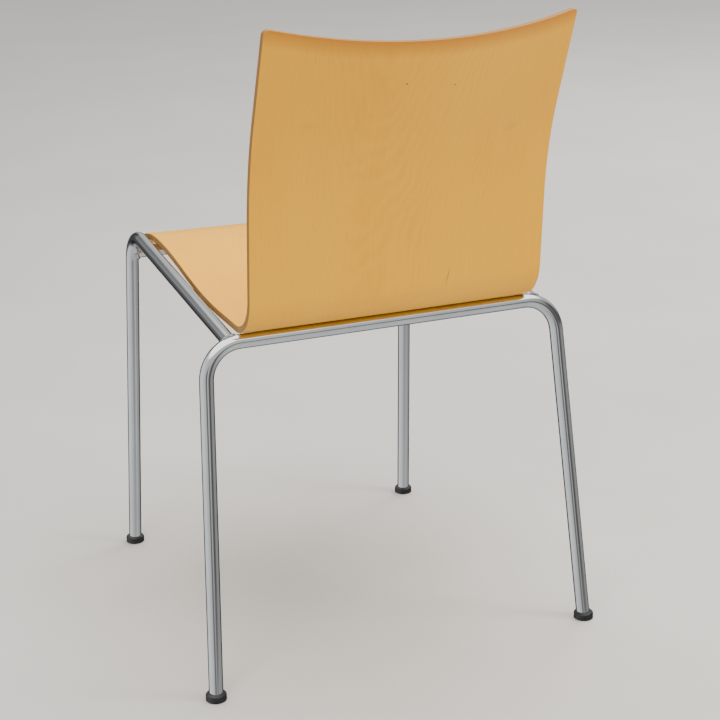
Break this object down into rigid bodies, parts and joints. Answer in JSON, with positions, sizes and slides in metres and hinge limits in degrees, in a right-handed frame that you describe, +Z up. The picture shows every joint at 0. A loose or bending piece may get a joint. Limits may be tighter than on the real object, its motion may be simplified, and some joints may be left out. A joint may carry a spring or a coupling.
{
  "type": "stacking chair",
  "caption": "Stacking chair with a one-piece moulded plywood seat and back on a welded frame of round chromed steel tube with black foot glides.",
  "frame": {"origin": "on the floor, under the middle of the whole chair", "axes": "+Z up, -Y the way the sitter faces, +X to the sitter's left"},
  "size_m": [0.547, 0.5656, 0.8192],
  "materials": {
    "plywood": "clear satin lacquer over beech veneer, bare ply layers at the edges",
    "chrome": "bright chrome plate",
    "weld_bead": "chromed weld bead",
    "zinc_steel": "bright zinc plate",
    "brass": "turned brass",
    "black_plastic": "moulded black plastic"
  },
  "bodies": {
    "root": {"plywood_shell": "plywood", "rear_hoop": "chrome", "left_side_frame": "chrome", "right_side_frame": "chrome", "front_cross_tube": "chrome", "front_left_lug": "chrome", "front_right_lug": "chrome", "rear_left_lug": "chrome", "rear_right_lug": "chrome", "left_rail_weld": "weld_bead", "right_rail_weld": "weld_bead", "left_cross_tube_weld": "weld_bead", "right_cross_tube_weld": "weld_bead", "lug_welds": "weld_bead", "shell_screws": "zinc_steel", "screw_washers": "zinc_steel", "threaded_inserts": "brass", "front_left_glide": "black_plastic", "front_right_glide": "black_plastic", "rear_left_glide": "black_plastic", "rear_right_glide": "black_plastic"}
  },
  "joints": []
}
